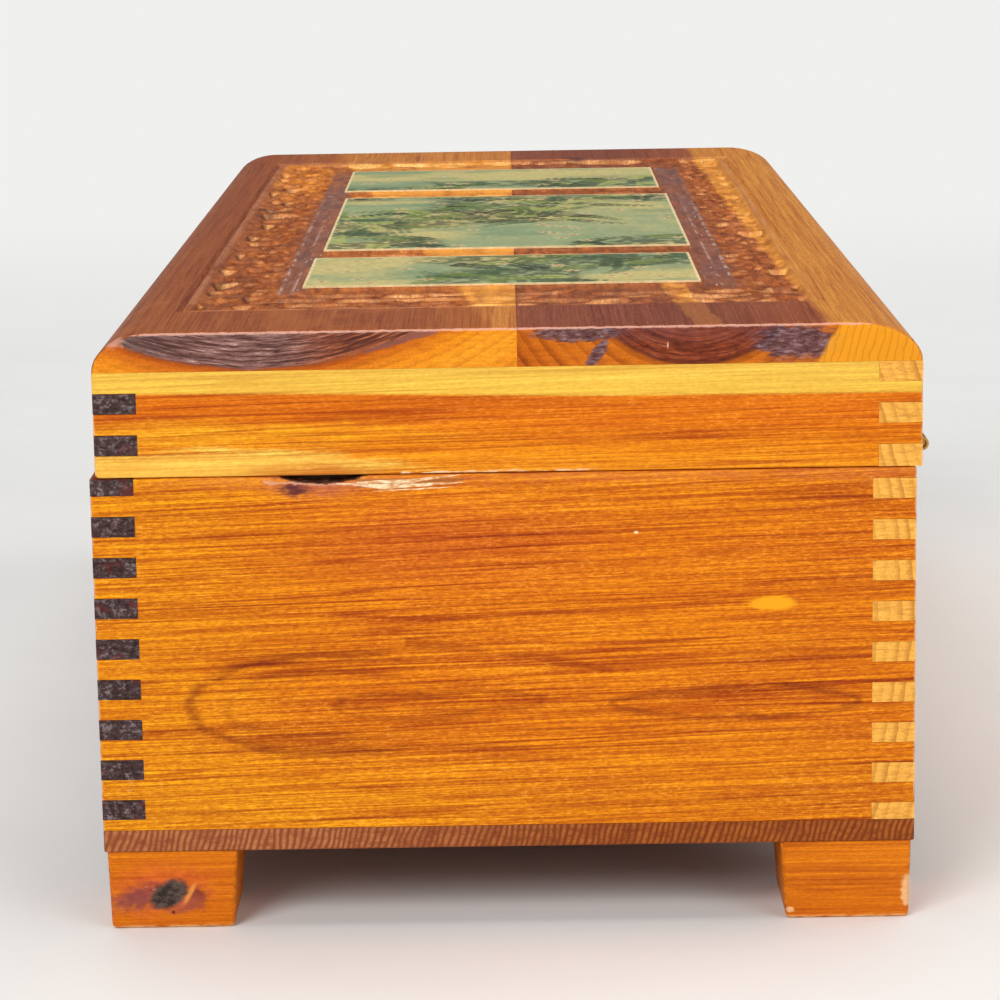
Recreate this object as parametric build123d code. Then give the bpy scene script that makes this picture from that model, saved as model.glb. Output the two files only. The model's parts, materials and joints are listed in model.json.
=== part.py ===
"""Carved wooden keepsake box with finger-jointed corners, block feet and a hinged lid.

Sizes are in millimetres. +Z is up, the length runs along X, the front faces -Y and the hinges are at +Y.
The origin is the bottom centre of the closed box's outer bounds, hinge barrels included.
"""

import os

from build123d import *

# The box as a whole
box_length = 292.0
box_width = 125.0
wall = 6.6
base_wall_height = 55.1
lid_wall_height = 16.1
bottom_board_thickness = 3.5

# The closed lid leaves a thin parting line and sits a little further back than the base
parting_gap = 0.15
lid_setback = 0.85

# Finger joints: the lowest finger of each board starts this far above the frame's lower edge
finger_pitch = 6.35
finger_width = 3.175
finger_glue_gap = 0.03
thinnest_sliver = 0.6
base_front_finger_start = 1.72
base_back_finger_start = -0.48
lid_front_finger_start = 3.4
lid_back_finger_start = 0.3

# Lid top: two boards glued edge to edge, with half-oval long edges
lid_top_thickness = 5.95
front_edge_round = 9.2
back_edge_round = 10.6
lid_end_round = 0.6
glue_line_offset = 1.55

# Carved field of the lid top, sunk below the surface, with raised lands under the panels
carving_depth = 0.8
carving_slope = 0.8
carving_end_border = 24.5
carving_front_border = 10.8
carving_back_border = 12.2
land_margin = 1.9

# Picture panels: thin sheets glued on the lands, measured from the lid's centre
panel_thickness = 0.3
panel_width = 65.4
left_panel_length = 41.2
middle_panel_length = 88.0
right_panel_length = 38.2
left_panel_x = -76.75
middle_panel_x = 2.55
right_panel_x = 77.7
left_panel_shift = -0.6
middle_panel_shift = 0.25
right_panel_shift = -0.65

# Feet: blocks set in a little from the outer faces and tapering downwards
foot_height = 12.5
foot_length = 19.6
foot_width = 20.2
foot_setback = 0.4
foot_outer_taper = 0.3
foot_inner_taper = 0.9

# Hinges: rolled sheet leaves on the back faces, with the barrel standing off behind the lid
hinge_length = 25.4
hinge_end_distance = 16.5
hinge_reach = 1.9
hinge_rise = 0.45
leaf_thickness = 0.4
leaf_height = 9.5
pin_radius = 0.7
pin_recess = 0.6
pin_clearance = 0.05
knuckle_gap = 0.15
nail_spacing = 15.0
nail_shank_radius = 0.5
nail_hole_clearance = 0.05
nail_length = 5.0
nail_head_radius = 1.15
nail_head_height = 0.4
nail_head_bevel = 0.25

# Heights and faces that follow from the sizes above
half_length = box_length / 2
half_width = box_width / 2
bottom_board_z = foot_height
base_z = bottom_board_z + bottom_board_thickness
base_top_z = base_z + base_wall_height
lid_z = base_top_z + parting_gap
lid_top_z = lid_z + lid_wall_height
lid_surface_z = lid_top_z + lid_top_thickness
lid_front_y = lid_setback - half_width
lid_back_y = lid_setback + half_width
barrel_radius = pin_radius + leaf_thickness
hinge_y = lid_back_y + hinge_reach
hinge_z = lid_z + hinge_rise
hinge_x = half_length - hinge_end_distance - hinge_length / 2

# The outer bounds run from the base's front face to the back of the hinge barrels
centring = Pos(0, (half_width - hinge_y - barrel_radius) / 2, 0)


def block(low, high):
    """A box between two opposite corners."""
    size = [high[i] - low[i] for i in range(3)]
    centre = [(high[i] + low[i]) / 2 for i in range(3)]
    return Pos(*centre) * Box(*size)


def finger_spans(start, height):
    """Lower and upper edge of each finger on a frame of this height, with no sliver left beside it."""
    spans = []
    low = start
    while low < height:
        lower = 0.0 if low < thinnest_sliver else low
        upper = low + finger_width
        if height - upper < thinnest_sliver:
            upper = height
        if upper - lower >= thinnest_sliver:
            spans.append((lower, upper))
        low += finger_pitch
    return spans


def frame_boards(height, bottom_z, centre_y, front_start, back_start):
    """The four finger-jointed boards of a frame: front, back, left end and right end."""
    rows = {-1: finger_spans(front_start, height), 1: finger_spans(back_start, height)}
    inner_end = half_length - wall
    boards = {}
    for side, name in ((-1, "front"), (1, "back")):
        outer = centre_y + side * half_width
        near_y, far_y = sorted((outer, outer - side * wall))
        board = block((-inner_end, near_y, bottom_z), (inner_end, far_y, bottom_z + height))
        for low, high in rows[side]:
            finger_low = bottom_z + low + finger_glue_gap
            finger_high = bottom_z + high - finger_glue_gap
            board += block((inner_end, near_y, finger_low), (half_length, far_y, finger_high))
            board += block((-half_length, near_y, finger_low), (-inner_end, far_y, finger_high))
        boards[name] = board
    for side, name in ((-1, "left_end"), (1, "right_end")):
        near_x, far_x = sorted((side * inner_end, side * half_length))
        low_y, high_y = centre_y - half_width, centre_y + half_width
        board = block((near_x, low_y, bottom_z), (far_x, high_y, bottom_z + height))
        for low, high in rows[-1]:
            board -= block((near_x, low_y, bottom_z + low), (far_x, low_y + wall, bottom_z + high))
        for low, high in rows[1]:
            board -= block((near_x, high_y - wall, bottom_z + low), (far_x, high_y, bottom_z + high))
        boards[name] = board
    return boards


def tapered_block(low, high, bottom_z, top_z, spread):
    """A block with the given outline at top_z, whose sides spread outwards by this much at bottom_z."""
    centre_x, centre_y = (low[0] + high[0]) / 2, (low[1] + high[1]) / 2
    length, width = high[0] - low[0], high[1] - low[1]
    lower = Pos(centre_x, centre_y, bottom_z) * Rectangle(length + 2 * spread, width + 2 * spread)
    upper = Pos(centre_x, centre_y, top_z) * Rectangle(length, width)
    return loft([lower, upper], ruled=True)


def panel_outlines():
    """Low and high corner in X and Y of each picture panel, by name."""
    layout = {
        "left": (left_panel_x, left_panel_length, left_panel_shift),
        "middle": (middle_panel_x, middle_panel_length, middle_panel_shift),
        "right": (right_panel_x, right_panel_length, right_panel_shift),
    }
    outlines = {}
    for name, (centre_x, length, shift) in layout.items():
        centre_y = lid_setback + shift
        low = (centre_x - length / 2, centre_y - panel_width / 2)
        high = (centre_x + length / 2, centre_y + panel_width / 2)
        outlines[name] = (low, high)
    return outlines


def lid_top_blank():
    """The lid top as one board, with half-oval long edges and softened ends."""
    height = lid_top_thickness
    front_centre = lid_front_y + front_edge_round
    back_centre = lid_back_y - back_edge_round
    outline = [
        Line((lid_front_y, 0), (lid_back_y, 0)),
        EllipticalCenterArc((back_centre, 0), back_edge_round, height, 0, arc_size=90),
        Line((back_centre, height), (front_centre, height)),
        EllipticalCenterArc((front_centre, 0), front_edge_round, height, 90, arc_size=90),
    ]
    section = Plane.YZ * make_face(outline)
    board = Pos(0, 0, lid_top_z) * extrude(section, amount=half_length, both=True)
    ends = board.faces().filter_by(Axis.X)
    arrises = [edge for end in ends for edge in end.edges() if edge.center().Z > lid_top_z + lid_end_round]
    return fillet(arrises, lid_end_round)


def carved_field():
    """The material cut away round the lands, sloping in from its outline."""
    floor_z = lid_surface_z - carving_depth
    low = (carving_end_border - half_length, lid_front_y + carving_front_border)
    high = (half_length - carving_end_border, lid_back_y - carving_back_border)
    field = tapered_block(low, high, floor_z, lid_surface_z, -carving_slope)
    for low, high in panel_outlines().values():
        land_low = (low[0] - land_margin, low[1] - land_margin)
        land_high = (high[0] + land_margin, high[1] + land_margin)
        field -= tapered_block(land_low, land_high, floor_z, lid_surface_z, carving_slope)
    return field


def lid_top_boards():
    """The carved lid top, cut along its glue line into a front and a back board."""
    top = lid_top_blank() - carved_field()
    glue_y = lid_setback + glue_line_offset
    low_z, high_z = lid_top_z, lid_surface_z
    front_half = block((-half_length, lid_front_y, low_z), (half_length, glue_y, high_z))
    back_half = block((-half_length, glue_y, low_z), (half_length, lid_back_y, high_z))
    return top & front_half, top & back_half


def foot(end, side):
    """One foot: end is 1 at the right, side is 1 at the back, and the inner faces taper the most."""
    outlines = []
    for z, outer_cut, inner_cut in ((bottom_board_z, 0.0, 0.0), (0.0, foot_outer_taper, foot_inner_taper)):
        outer_x = half_length - foot_setback - outer_cut
        inner_x = half_length - foot_setback - foot_length + inner_cut
        outer_y = half_width - foot_setback - outer_cut
        inner_y = half_width - foot_setback - foot_width + inner_cut
        centre = Pos(end * (outer_x + inner_x) / 2, side * (outer_y + inner_y) / 2, z)
        outlines.append(centre * Rectangle(outer_x - inner_x, outer_y - inner_y))
    return loft(outlines, ruled=True)


def nail_places(leaf_middle_z, back_y):
    """Where the four nails of one body's two leaves sit on the back face."""
    places = []
    for end in (-1, 1):
        for step in (-0.5, 0.5):
            places.append(Pos(end * hinge_x + step * nail_spacing, back_y, leaf_middle_z))
    return places


def nail():
    """A round-head nail, pointing along -Y from the back face, with its head against the leaf."""
    shank = Cylinder(nail_shank_radius, nail_length + leaf_thickness, align=(Align.CENTER, Align.CENTER, Align.MIN))
    head = Cylinder(nail_head_radius, nail_head_height, align=(Align.CENTER, Align.CENTER, Align.MIN))
    head = chamfer(head.edges().sort_by(Axis.Z)[-1], nail_head_bevel)
    whole = Pos(0, 0, -nail_length) * shank + Pos(0, 0, leaf_thickness) * head
    return Rot(-90, 0, 0) * whole


def hinge_leaf(end, back_y, up, knuckles, bore_radius):
    """A sheet leaf on a back face, bent out to the barrel: up is 1 on the lid and -1 on the base."""
    middle_x = end * hinge_x
    bend_z = hinge_z + up * (barrel_radius - leaf_thickness)
    plate_low, plate_high = sorted((bend_z, bend_z + up * leaf_height))
    leaf = block(
        (middle_x - hinge_length / 2, back_y, plate_low),
        (middle_x + hinge_length / 2, back_y + leaf_thickness, plate_high),
    )
    tongue_low, tongue_high = sorted((bend_z, hinge_z + up * barrel_radius))
    barrel_place = Pos(0, hinge_y, hinge_z) * Rot(0, 90, 0)
    knuckle_pitch = hinge_length / 3
    for number in knuckles:
        low_x = middle_x - hinge_length / 2 + number * knuckle_pitch + (knuckle_gap / 2 if number else 0)
        high_x = middle_x - hinge_length / 2 + (number + 1) * knuckle_pitch - (knuckle_gap / 2 if number < 2 else 0)
        leaf += block((low_x, back_y, tongue_low), (high_x, hinge_y, tongue_high))
        leaf += Pos((low_x + high_x) / 2, 0, 0) * barrel_place * Cylinder(barrel_radius, high_x - low_x)
    leaf -= Pos(middle_x, 0, 0) * barrel_place * Cylinder(bore_radius, hinge_length)
    for step in (-0.5, 0.5):
        hole = Rot(90, 0, 0) * Cylinder(nail_shank_radius + nail_hole_clearance, 4 * leaf_thickness)
        leaf -= Pos(middle_x + step * nail_spacing, back_y, (plate_low + plate_high) / 2) * hole
    return leaf


def hinge_pin(end):
    """The pin of one hinge, whose ends lie a little inside the barrel."""
    pin = Cylinder(pin_radius, hinge_length - 2 * pin_recess)
    return Pos(end * hinge_x, hinge_y, hinge_z) * Rot(0, 90, 0) * pin


def build_nodes():
    """Every piece of the box, by node name."""
    nodes = {}
    base = frame_boards(base_wall_height, base_z, 0, base_front_finger_start, base_back_finger_start)
    lid = frame_boards(lid_wall_height, lid_z, lid_setback, lid_front_finger_start, lid_back_finger_start)

    bend_offset = barrel_radius - leaf_thickness + leaf_height / 2
    base_nails = [place * nail() for place in nail_places(hinge_z - bend_offset, half_width)]
    lid_nails = [place * nail() for place in nail_places(hinge_z + bend_offset, lid_back_y)]
    for driven in base_nails:
        base["back"] -= driven
    for driven in lid_nails:
        lid["back"] -= driven

    for name, board in base.items():
        nodes[f"base_{name}_board"] = board
    for name, board in lid.items():
        nodes[f"lid_{name}_board"] = board
    nodes["bottom_board"] = block(
        (-half_length, -half_width, bottom_board_z),
        (half_length, half_width, base_z),
    )
    nodes["lid_top_front_board"], nodes["lid_top_back_board"] = lid_top_boards()
    for name, (low, high) in panel_outlines().items():
        panel_top_z = lid_surface_z + panel_thickness
        nodes[f"picture_panel_{name}"] = block((*low, lid_surface_z), (*high, panel_top_z))

    for end, end_name in ((-1, "left"), (1, "right")):
        for side, side_name in ((-1, "front"), (1, "back")):
            nodes[f"foot_{side_name}_{end_name}"] = foot(end, side)
        nodes[f"hinge_base_leaf_{end_name}"] = hinge_leaf(end, half_width, -1, (0, 2), pin_radius)
        nodes[f"hinge_lid_leaf_{end_name}"] = hinge_leaf(end, lid_back_y, 1, (1,), pin_radius + pin_clearance)
        nodes[f"hinge_pin_{end_name}"] = hinge_pin(end)
    nodes["base_hinge_nails"] = Compound(children=base_nails)
    nodes["lid_hinge_nails"] = Compound(children=lid_nails)
    return nodes


os.makedirs("parts", exist_ok=True)
for node_name, shape in build_nodes().items():
    export_step(centring * shape, f"parts/{node_name}.step")
print("hinge axis at", [round(v, 4) for v in (0, hinge_y + centring.position.Y, hinge_z)])
print("centring shift", round(centring.position.Y, 4))
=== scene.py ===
"""Looks of the carved cedar keepsake box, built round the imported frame.

Lengths are in millimetres and become metres where a mesh or the camera is made. The right end, at +X,
faces the camera; the front is at -Y and the hinges are at +Y.
"""

import json
import math

import bmesh
import bpy
import numpy as np
from mathutils import Matrix, Vector


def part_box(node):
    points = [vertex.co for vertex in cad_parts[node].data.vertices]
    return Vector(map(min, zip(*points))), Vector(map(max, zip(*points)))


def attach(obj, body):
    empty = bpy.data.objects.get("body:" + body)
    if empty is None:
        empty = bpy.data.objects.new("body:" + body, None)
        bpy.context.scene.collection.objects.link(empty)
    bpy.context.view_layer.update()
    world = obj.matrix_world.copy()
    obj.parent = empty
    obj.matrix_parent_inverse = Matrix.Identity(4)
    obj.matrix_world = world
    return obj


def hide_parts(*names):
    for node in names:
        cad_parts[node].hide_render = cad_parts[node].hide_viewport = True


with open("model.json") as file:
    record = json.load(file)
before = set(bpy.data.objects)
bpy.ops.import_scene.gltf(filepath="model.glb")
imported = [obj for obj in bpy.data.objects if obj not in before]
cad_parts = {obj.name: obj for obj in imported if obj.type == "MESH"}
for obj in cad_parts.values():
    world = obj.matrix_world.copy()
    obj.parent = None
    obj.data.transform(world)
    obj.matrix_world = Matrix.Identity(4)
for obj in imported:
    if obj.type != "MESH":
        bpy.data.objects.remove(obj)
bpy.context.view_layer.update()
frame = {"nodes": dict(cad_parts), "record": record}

MM = 0.001
bodies = frame["record"]["behaviour"]["bodies"]
body_of = {node: body for body, nodes in bodies.items() for node in nodes}


def edges_of(*nodes):
    """Lowest and highest corner of some CAD nodes together, in millimetres."""
    boxes = [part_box(node) for node in nodes]
    low = [min(box[0][axis] for box in boxes) / MM for axis in range(3)]
    high = [max(box[1][axis] for box in boxes) / MM for axis in range(3)]
    return low, high


walls = ("front", "back", "left_end", "right_end")
base_low, base_high = edges_of(*(f"base_{wall}_board" for wall in walls))
lid_low, lid_high = edges_of(*(f"lid_{wall}_board" for wall in walls))
top_low, top_high = edges_of("lid_top_front_board", "lid_top_back_board")
panels = {name: edges_of(f"picture_panel_{name}") for name in ("left", "middle", "right")}
glue_y = edges_of("lid_top_front_board")[1][1]
half_length = base_high[0]

# Finish sizes
arris_round = 0.35
joint_line = 0.1
foot_round = 0.7
hinge_arris = 0.12
nail_arris = 0.1
metal_joint_line = 0.08

# Carved lid: half-oval edges, the sharp groove round the carving, and the smooth strips beside the panels
front_edge_round = 9.2
back_edge_round = 10.6
lid_end_round = 0.7
glue_line_bevel = 0.07
groove_low = (-122.4, -52.9)
groove_high = (122.6, 49.4)
groove_depth = 0.75
groove_half_width = 0.55
ribbon_end = 2.4
ribbon_drop = 0.1
field_depth = 0.45
field_ruggedness = 0.34
gouge_wall = 0.9
strip_land = 2.1
strip_sunk = 4.6
strip_end_x = 98.5
sunk_depth = 0.5
bead_height = 0.28
carving_step = 0.45
plain_step = 2.5

# Where the pale sapwood begins on the lid's two top boards
back_sap_y = 46.0
front_sap_y = -3.0
front_sap_slope = 0.125

# The pocket in the right end's rim, where bark fell out
pocket_y = (-35.8, -22.8)
pocket_depth = 1.15
pocket_reach = 2.6

# Middle of the dark knot on the front right foot's end, on Y and Z
knot_y = -54.7
knot_z = 5.5

# Camera, fitted to the straight edges in the photograph
camera_place = (651.03, -0.72, 165.51)
camera_yaw = -0.0034
camera_pitch = 0.1926
camera_roll = -0.0165
camera_lens = 122.5


def tone(red, green, blue):
    """A linear colour from the 0 to 255 values that a screen shows."""
    shares = [value / 255 for value in (red, green, blue)]
    linear = [share / 12.92 if share <= 0.04045 else ((share + 0.055) / 1.055) ** 2.4 for share in shares]
    return linear + [1.0]


class Value:
    """A number that a node works out. Arithmetic with it adds the nodes that do the sum."""

    def __init__(self, shader, socket):
        self.shader = shader
        self.socket = socket

    def __add__(self, other):
        return self.shader.math("ADD", self, other)

    def __sub__(self, other):
        return self.shader.math("SUBTRACT", self, other)

    def __rsub__(self, other):
        return self.shader.math("SUBTRACT", other, self)

    def __mul__(self, other):
        return self.shader.math("MULTIPLY", self, other)

    def __truediv__(self, other):
        return self.shader.math("DIVIDE", self, other)

    def __abs__(self):
        return self.shader.math("ABSOLUTE", self)

    def fraction(self):
        return self.shader.math("FRACT", self)

    def mapped(self, low, high, **settings):
        """0 at low and 1 at high, in a straight line between them."""
        return self.shader.number("ShaderNodeMapRange", {"Value": self, 1: low, 2: high}, **settings)

    def smooth(self, low, high, out_low=0.0, out_high=1.0):
        """A soft step: out_low up to low, out_high from high on."""
        inputs = {"Value": self, 1: low, 2: high, 3: out_low, 4: out_high}
        return self.shader.number("ShaderNodeMapRange", inputs, interpolation_type="SMOOTHSTEP")

    def around(self, reach):
        """Noise from 0 to 1 turned into plus or minus reach."""
        return (self - 0.5) * (2 * reach)

    def contours(self, width):
        """1 where noise crosses its middle value, which draws long thin lines on stretched noise."""
        return abs(self - 0.5).smooth(width, 0.0)


class Shader:
    """One node material, with the colour and roughness of its surface so far.

    Numbers are passed as Value, and colours and vectors as the sockets that they come out of.
    """

    def __init__(self, name):
        self.material = bpy.data.materials.new(name)
        self.material.use_nodes = True
        self.tree = self.material.node_tree
        self.tree.nodes.clear()
        coordinates = self.add("ShaderNodeTexCoord", {}).outputs
        self.place = self.vector("MULTIPLY", coordinates["Object"], (1 / MM, 1 / MM, 1 / MM))
        self.x, self.y, self.z = self.parts(self.place)
        self.facing = self.parts(self.vector("ABSOLUTE", coordinates["Normal"]))

    def add(self, kind, inputs, **settings):
        node = self.tree.nodes.new(kind)
        for key, value in settings.items():
            setattr(node, key, value)
        for key, value in inputs.items():
            value = value.socket if isinstance(value, Value) else value
            if isinstance(value, bpy.types.NodeSocket):
                self.tree.links.new(value, node.inputs[key])
            else:
                node.inputs[key].default_value = value
        return node

    def number(self, kind, inputs, output=0, **settings):
        return Value(self, self.add(kind, inputs, **settings).outputs[output])

    def math(self, operation, a, b=0.0):
        return self.number("ShaderNodeMath", {0: a, 1: b}, operation=operation)

    def vector(self, operation, a, b=(0, 0, 0)):
        return self.add("ShaderNodeVectorMath", {0: a, 1: b}, operation=operation).outputs[0]

    def length(self, a):
        return self.number("ShaderNodeVectorMath", {0: a}, "Value", operation="LENGTH")

    def parts(self, a):
        return [Value(self, output) for output in self.add("ShaderNodeSeparateXYZ", {0: a}).outputs]

    def attribute(self, name):
        return self.number("ShaderNodeAttribute", {}, "Fac", attribute_name=name)

    def blend(self, share, a, b, mode="MIX"):
        inputs = {0: share, 6: a, 7: b}
        return self.add("ShaderNodeMix", inputs, data_type="RGBA", blend_type=mode).outputs[2]

    def between(self, share, a, b):
        """A colour on the way from a to b, each given as three values that a screen shows."""
        return self.blend(share, tone(*a), tone(*b))

    def tinted(self, colour, value, dark, light, spread=0.2, share=1.0):
        """A colour times dark where a value is low, and times light where it is high.

        spread is how far on each side of 0.5 the change goes on.
        """
        factors = self.blend(value.mapped(0.5 - spread, 0.5 + spread), dark + (1,), light + (1,))
        return self.blend(share, colour, factors, "MULTIPLY")

    def tint(self, value, dark, light, spread=0.2, share=1.0):
        """Tints the surface as tinted does."""
        self.colour = self.tinted(self.colour, value, dark, light, spread, share)

    def lay(self, share, paint):
        """Lays a paint over the surface: a colour's socket, or three values that a screen shows."""
        paint = paint if isinstance(paint, bpy.types.NodeSocket) else tone(*paint)
        self.colour = self.blend(share, self.colour, paint)

    def deepen(self, share, factors):
        """Multiplies the surface's red, green and blue where share is above 0."""
        self.colour = self.blend(share, self.colour, factors + (1,), "MULTIPLY")

    def ramp(self, value, stops):
        """Colours along a value: stops are (value, red, green, blue), the colour as a screen shows it."""
        low, high = stops[0][0], stops[-1][0]
        node = self.add("ShaderNodeValToRGB", {0: value.mapped(low, high)})
        points = node.color_ramp.elements
        while len(points) < len(stops):
            points.new(0.5)
        for point, (at, *paint) in zip(points, stops):
            point.position = (at - low) / (high - low)
            point.color = tone(*paint)
        return node.outputs[0]

    def noise(self, size, seed=0.0, detail=2.0, rough=0.5, place=None):
        """Noise from 0 to 1, with features of this size along X, Y and Z."""
        where = {
            "Vector": self.place if place is None else place,
            "Location": (seed, 1.7 * seed, 2.3 * seed),
            "Scale": tuple(1 / extent for extent in size),
        }
        scaled = self.add("ShaderNodeMapping", where).outputs[0]
        inputs = {"Vector": scaled, "Scale": 1.0, "Detail": detail, "Roughness": rough}
        return self.number("ShaderNodeTexNoise", inputs)

    def spot(self, centre, radii, inner=0.0, wobble=0.0, turn=0.0):
        """1 inside an ellipsoid, falling to 0 at its edge, from the share inner of its radius on.

        turn is how far the ellipsoid is turned about X, in radians.
        """
        gap = self.vector("SUBTRACT", self.place, centre)
        if turn:
            inputs = {"Vector": gap, "Angle": -turn}
            gap = self.add("ShaderNodeVectorRotate", inputs, rotation_type="X_AXIS").outputs[0]
        return (self.length(self.vector("DIVIDE", gap, radii)) + wobble).smooth(1.0, inner)

    def end_spot(self, y, z, wide, high, inner=0.0, wobble=0.0, turn=0.0, depth=60):
        """A spot round (y, z) on the box's right end, with its radii along Y and Z and into the wood."""
        return self.spot((half_length, y, z), (depth, wide, high), inner, wobble, turn)

    def loop(self, y, z, wide, high, thick, wobble):
        """1 on the outline of an ellipse round (y, z), falling to 0 at thick millimetres from it."""
        radii = (900, wide, high)
        gap = self.vector("DIVIDE", self.vector("SUBTRACT", self.place, (half_length, y, z)), radii)
        reach = self.length(gap)
        steep = self.length(self.vector("DIVIDE", gap, radii))
        return abs(reach / steep * (reach - 1) + wobble).smooth(thick, 0.0)

    def stroke(self, start, end, thick, wobble):
        """1 on a thin line between two (y, z) points. thick is its half thickness at each of them."""
        share = self.y.mapped(start[0], end[0], clamp=False)
        off = abs(self.z - (share * (end[1] - start[1]) + start[1]) + wobble)
        half = share * (thick[1] - thick[0]) + thick[0]
        return (off / half).smooth(1.0, 0.5) * share.smooth(-0.02, 0.0) * share.smooth(1.02, 1.0)

    def surface(self, bump=None, bump_height=0.02, coat=0.0, coat_rough=0.15, metallic=0.0, specular=0.12):
        """A Principled shader with a bump in millimetres and a coat of varnish."""
        inputs = {
            "Base Color": self.colour, "Roughness": self.rough, "Metallic": metallic, "Coat Weight": coat,
            "Coat Roughness": coat_rough, "Specular IOR Level": specular,
        }
        if bump is not None:
            relief = {"Height": bump, "Distance": bump_height * MM, "Strength": 1.0}
            bumped = self.add("ShaderNodeBump", relief).outputs[0]
            inputs.update({"Normal": bumped, "Coat Normal": bumped})
        return self.add("ShaderNodeBsdfPrincipled", inputs).outputs[0]

    def finish(self, surface):
        self.add("ShaderNodeOutputMaterial", {"Surface": surface})
        return self.material


def strengthened(strength, *pair):
    """Colour factors pushed away from 1, or back towards it."""
    return [tuple(1 + strength * (factor - 1) for factor in factors) for factors in pair]


def cedar(name, grain, pith, ring_pitch, seed, waver, zones, end_zones=None, zone_axis=None, bulges=(),
          ring_share=0.35, figure=1.0, end_figure=1.0, end_rings=0.85, flecks=0.3, grit=1.0, lean=0.0,
          under=None, extra=None, rough=0.4, coat=0.06):
    """Varnished cedar, with rings round a pith line along the grain and colours by distance from it.

    bulges are (centre, radii, height) swellings of the rings: cathedral figure and round knots. lean tilts
    the figure of a board whose grain runs along Y. under(wood) may change the tone below the grain, and
    extra(wood) lays marks and wear over it.
    """
    wood = Shader(name)
    along = "XYZ".index(grain)
    where = wood.place
    if lean:
        sink = wood.add("ShaderNodeCombineXYZ", {2: wood.y * -lean}).outputs[0]
        where = wood.vector("ADD", wood.place, sink)

    def stretched(length, width, shift, detail=2.0, softness=0.5):
        """Noise whose features are drawn out along the grain."""
        size = [width, width, width]
        size[along] = length
        return wood.noise(size, seed + shift, detail, softness, where)

    across = tuple(float(axis != along) for axis in range(3))
    from_pith = wood.vector("SUBTRACT", wood.place, pith)
    distance = wood.length(wood.vector("MULTIPLY", from_pith, across))
    quick = stretched(30, 4, 3.1, 3.0, 0.6)
    distance = distance + stretched(150, 26, 0, 2.0, 0.45).around(waver) + quick.around(0.4 * waver)
    for centre, radii, height in bulges:
        distance = distance + wood.spot(centre, radii, 0.0, quick.around(0.5)) * height
    wood.distance = distance
    wood.zone = zone_axis(wood) if zone_axis else distance
    wood.bent = wood.add("ShaderNodeCombineXYZ", {1: wood.y, 2: distance}).outputs[0]
    wood.end_grain = wood.facing[along].smooth(0.55, 0.8)

    turns = distance / ring_pitch
    number = wood.math("FLOOR", turns)
    random = wood.number("ShaderNodeTexWhiteNoise", {"W": number}, noise_dimensions="1D")
    phase = turns.fraction()
    rings = phase.smooth(0.3, 0.9) * phase.smooth(1.0, 0.93) * (random * 0.75 + 0.25)

    streaks = stretched(80, 0.9, 7.9, 4.0, 0.62)
    strands = stretched(16, 0.24, 5.3, 2.0, 0.6)
    broad = stretched(110, 8, 11.3)
    wood.colour = wood.ramp(wood.zone, zones)
    if under is not None:
        under(wood)
    wood.tint(broad, *strengthened(figure, (0.92, 0.87, 0.75), (1.03, 1.08, 1.15)))
    wood.tint(streaks, *strengthened(figure, (0.9, 0.84, 0.72), (1.05, 1.11, 1.2)), 0.18)
    wood.tint(strands, *strengthened(figure, (0.74, 0.54, 0.4), (1.16, 1.4, 1.6)))
    strong = stretched(45, 5, 15.1).smooth(0.3, 0.62, 0.35, 1.0)
    for width, thin, share in ((2.8, 0.03, 0.95), (1.3, 0.042, 0.85), (0.75, 0.05, 0.65)):
        thread = stretched(150, width, 13.7 + width).contours(thin)
        wood.deepen(thread * strong * min(1, share * figure), (0.65, 0.42, 0.27))
    wood.deepen(rings * ring_share, (0.66, 0.42, 0.26))
    sparkle = stretched(0.9, 0.26, 2.9, 2.0, 0.6)
    wood.tint(sparkle, *strengthened(grit * figure, (0.8, 0.66, 0.56), (1.14, 1.34, 1.55)))
    patch = stretched(30, 9, 4.7).smooth(0.38, 0.6)
    wood.lay(sparkle.smooth(0.58, 0.7) * patch * (flecks / 2), (255, 190, 110))

    pores = wood.noise((0.35, 0.35, 0.35), seed + 2.2, 2.0, 0.7)
    rays = wood.noise((4, 3.2, 0.4), seed + 9.1, 3.0, 0.65)
    ends = wood.ramp(distance, end_zones or zones)
    ends = wood.tinted(ends, rays, *strengthened(end_figure, (0.76, 0.66, 0.55), (1.16, 1.26, 1.4)))
    ends = wood.tinted(ends, pores, *strengthened(end_figure, (0.82, 0.74, 0.66), (1.12, 1.2, 1.3)))
    ends = wood.blend(rings * end_rings, ends, (0.5, 0.36, 0.26, 1), "MULTIPLY")
    wood.lay(wood.end_grain, ends)
    wood.rough = streaks * 0.12 + rough
    if extra is not None:
        extra(wood)
    return wood.finish(wood.surface(strands * 0.6 + rings * 0.4 + pores * 0.4, 0.03, coat))


def link(name, mesh, node):
    """Adds a mesh as a piece that stands for a CAD node and rides with it."""
    piece = bpy.data.objects.new(name, mesh)
    bpy.context.scene.collection.objects.link(piece)
    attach(piece, body_of[node])
    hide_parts(node)
    return piece


def on_outline(point, low, high, skipped, slack):
    """How many of a box's planes a point lies on, without skipped ones, such as ("z", "low")."""
    planes = 0
    for axis, letter in enumerate("xyz"):
        for side, corner in (("low", low), ("high", high)):
            near = abs(point[axis] - corner[axis] * MM) < slack * MM
            planes += near and (letter, side) not in skipped
    return planes


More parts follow.
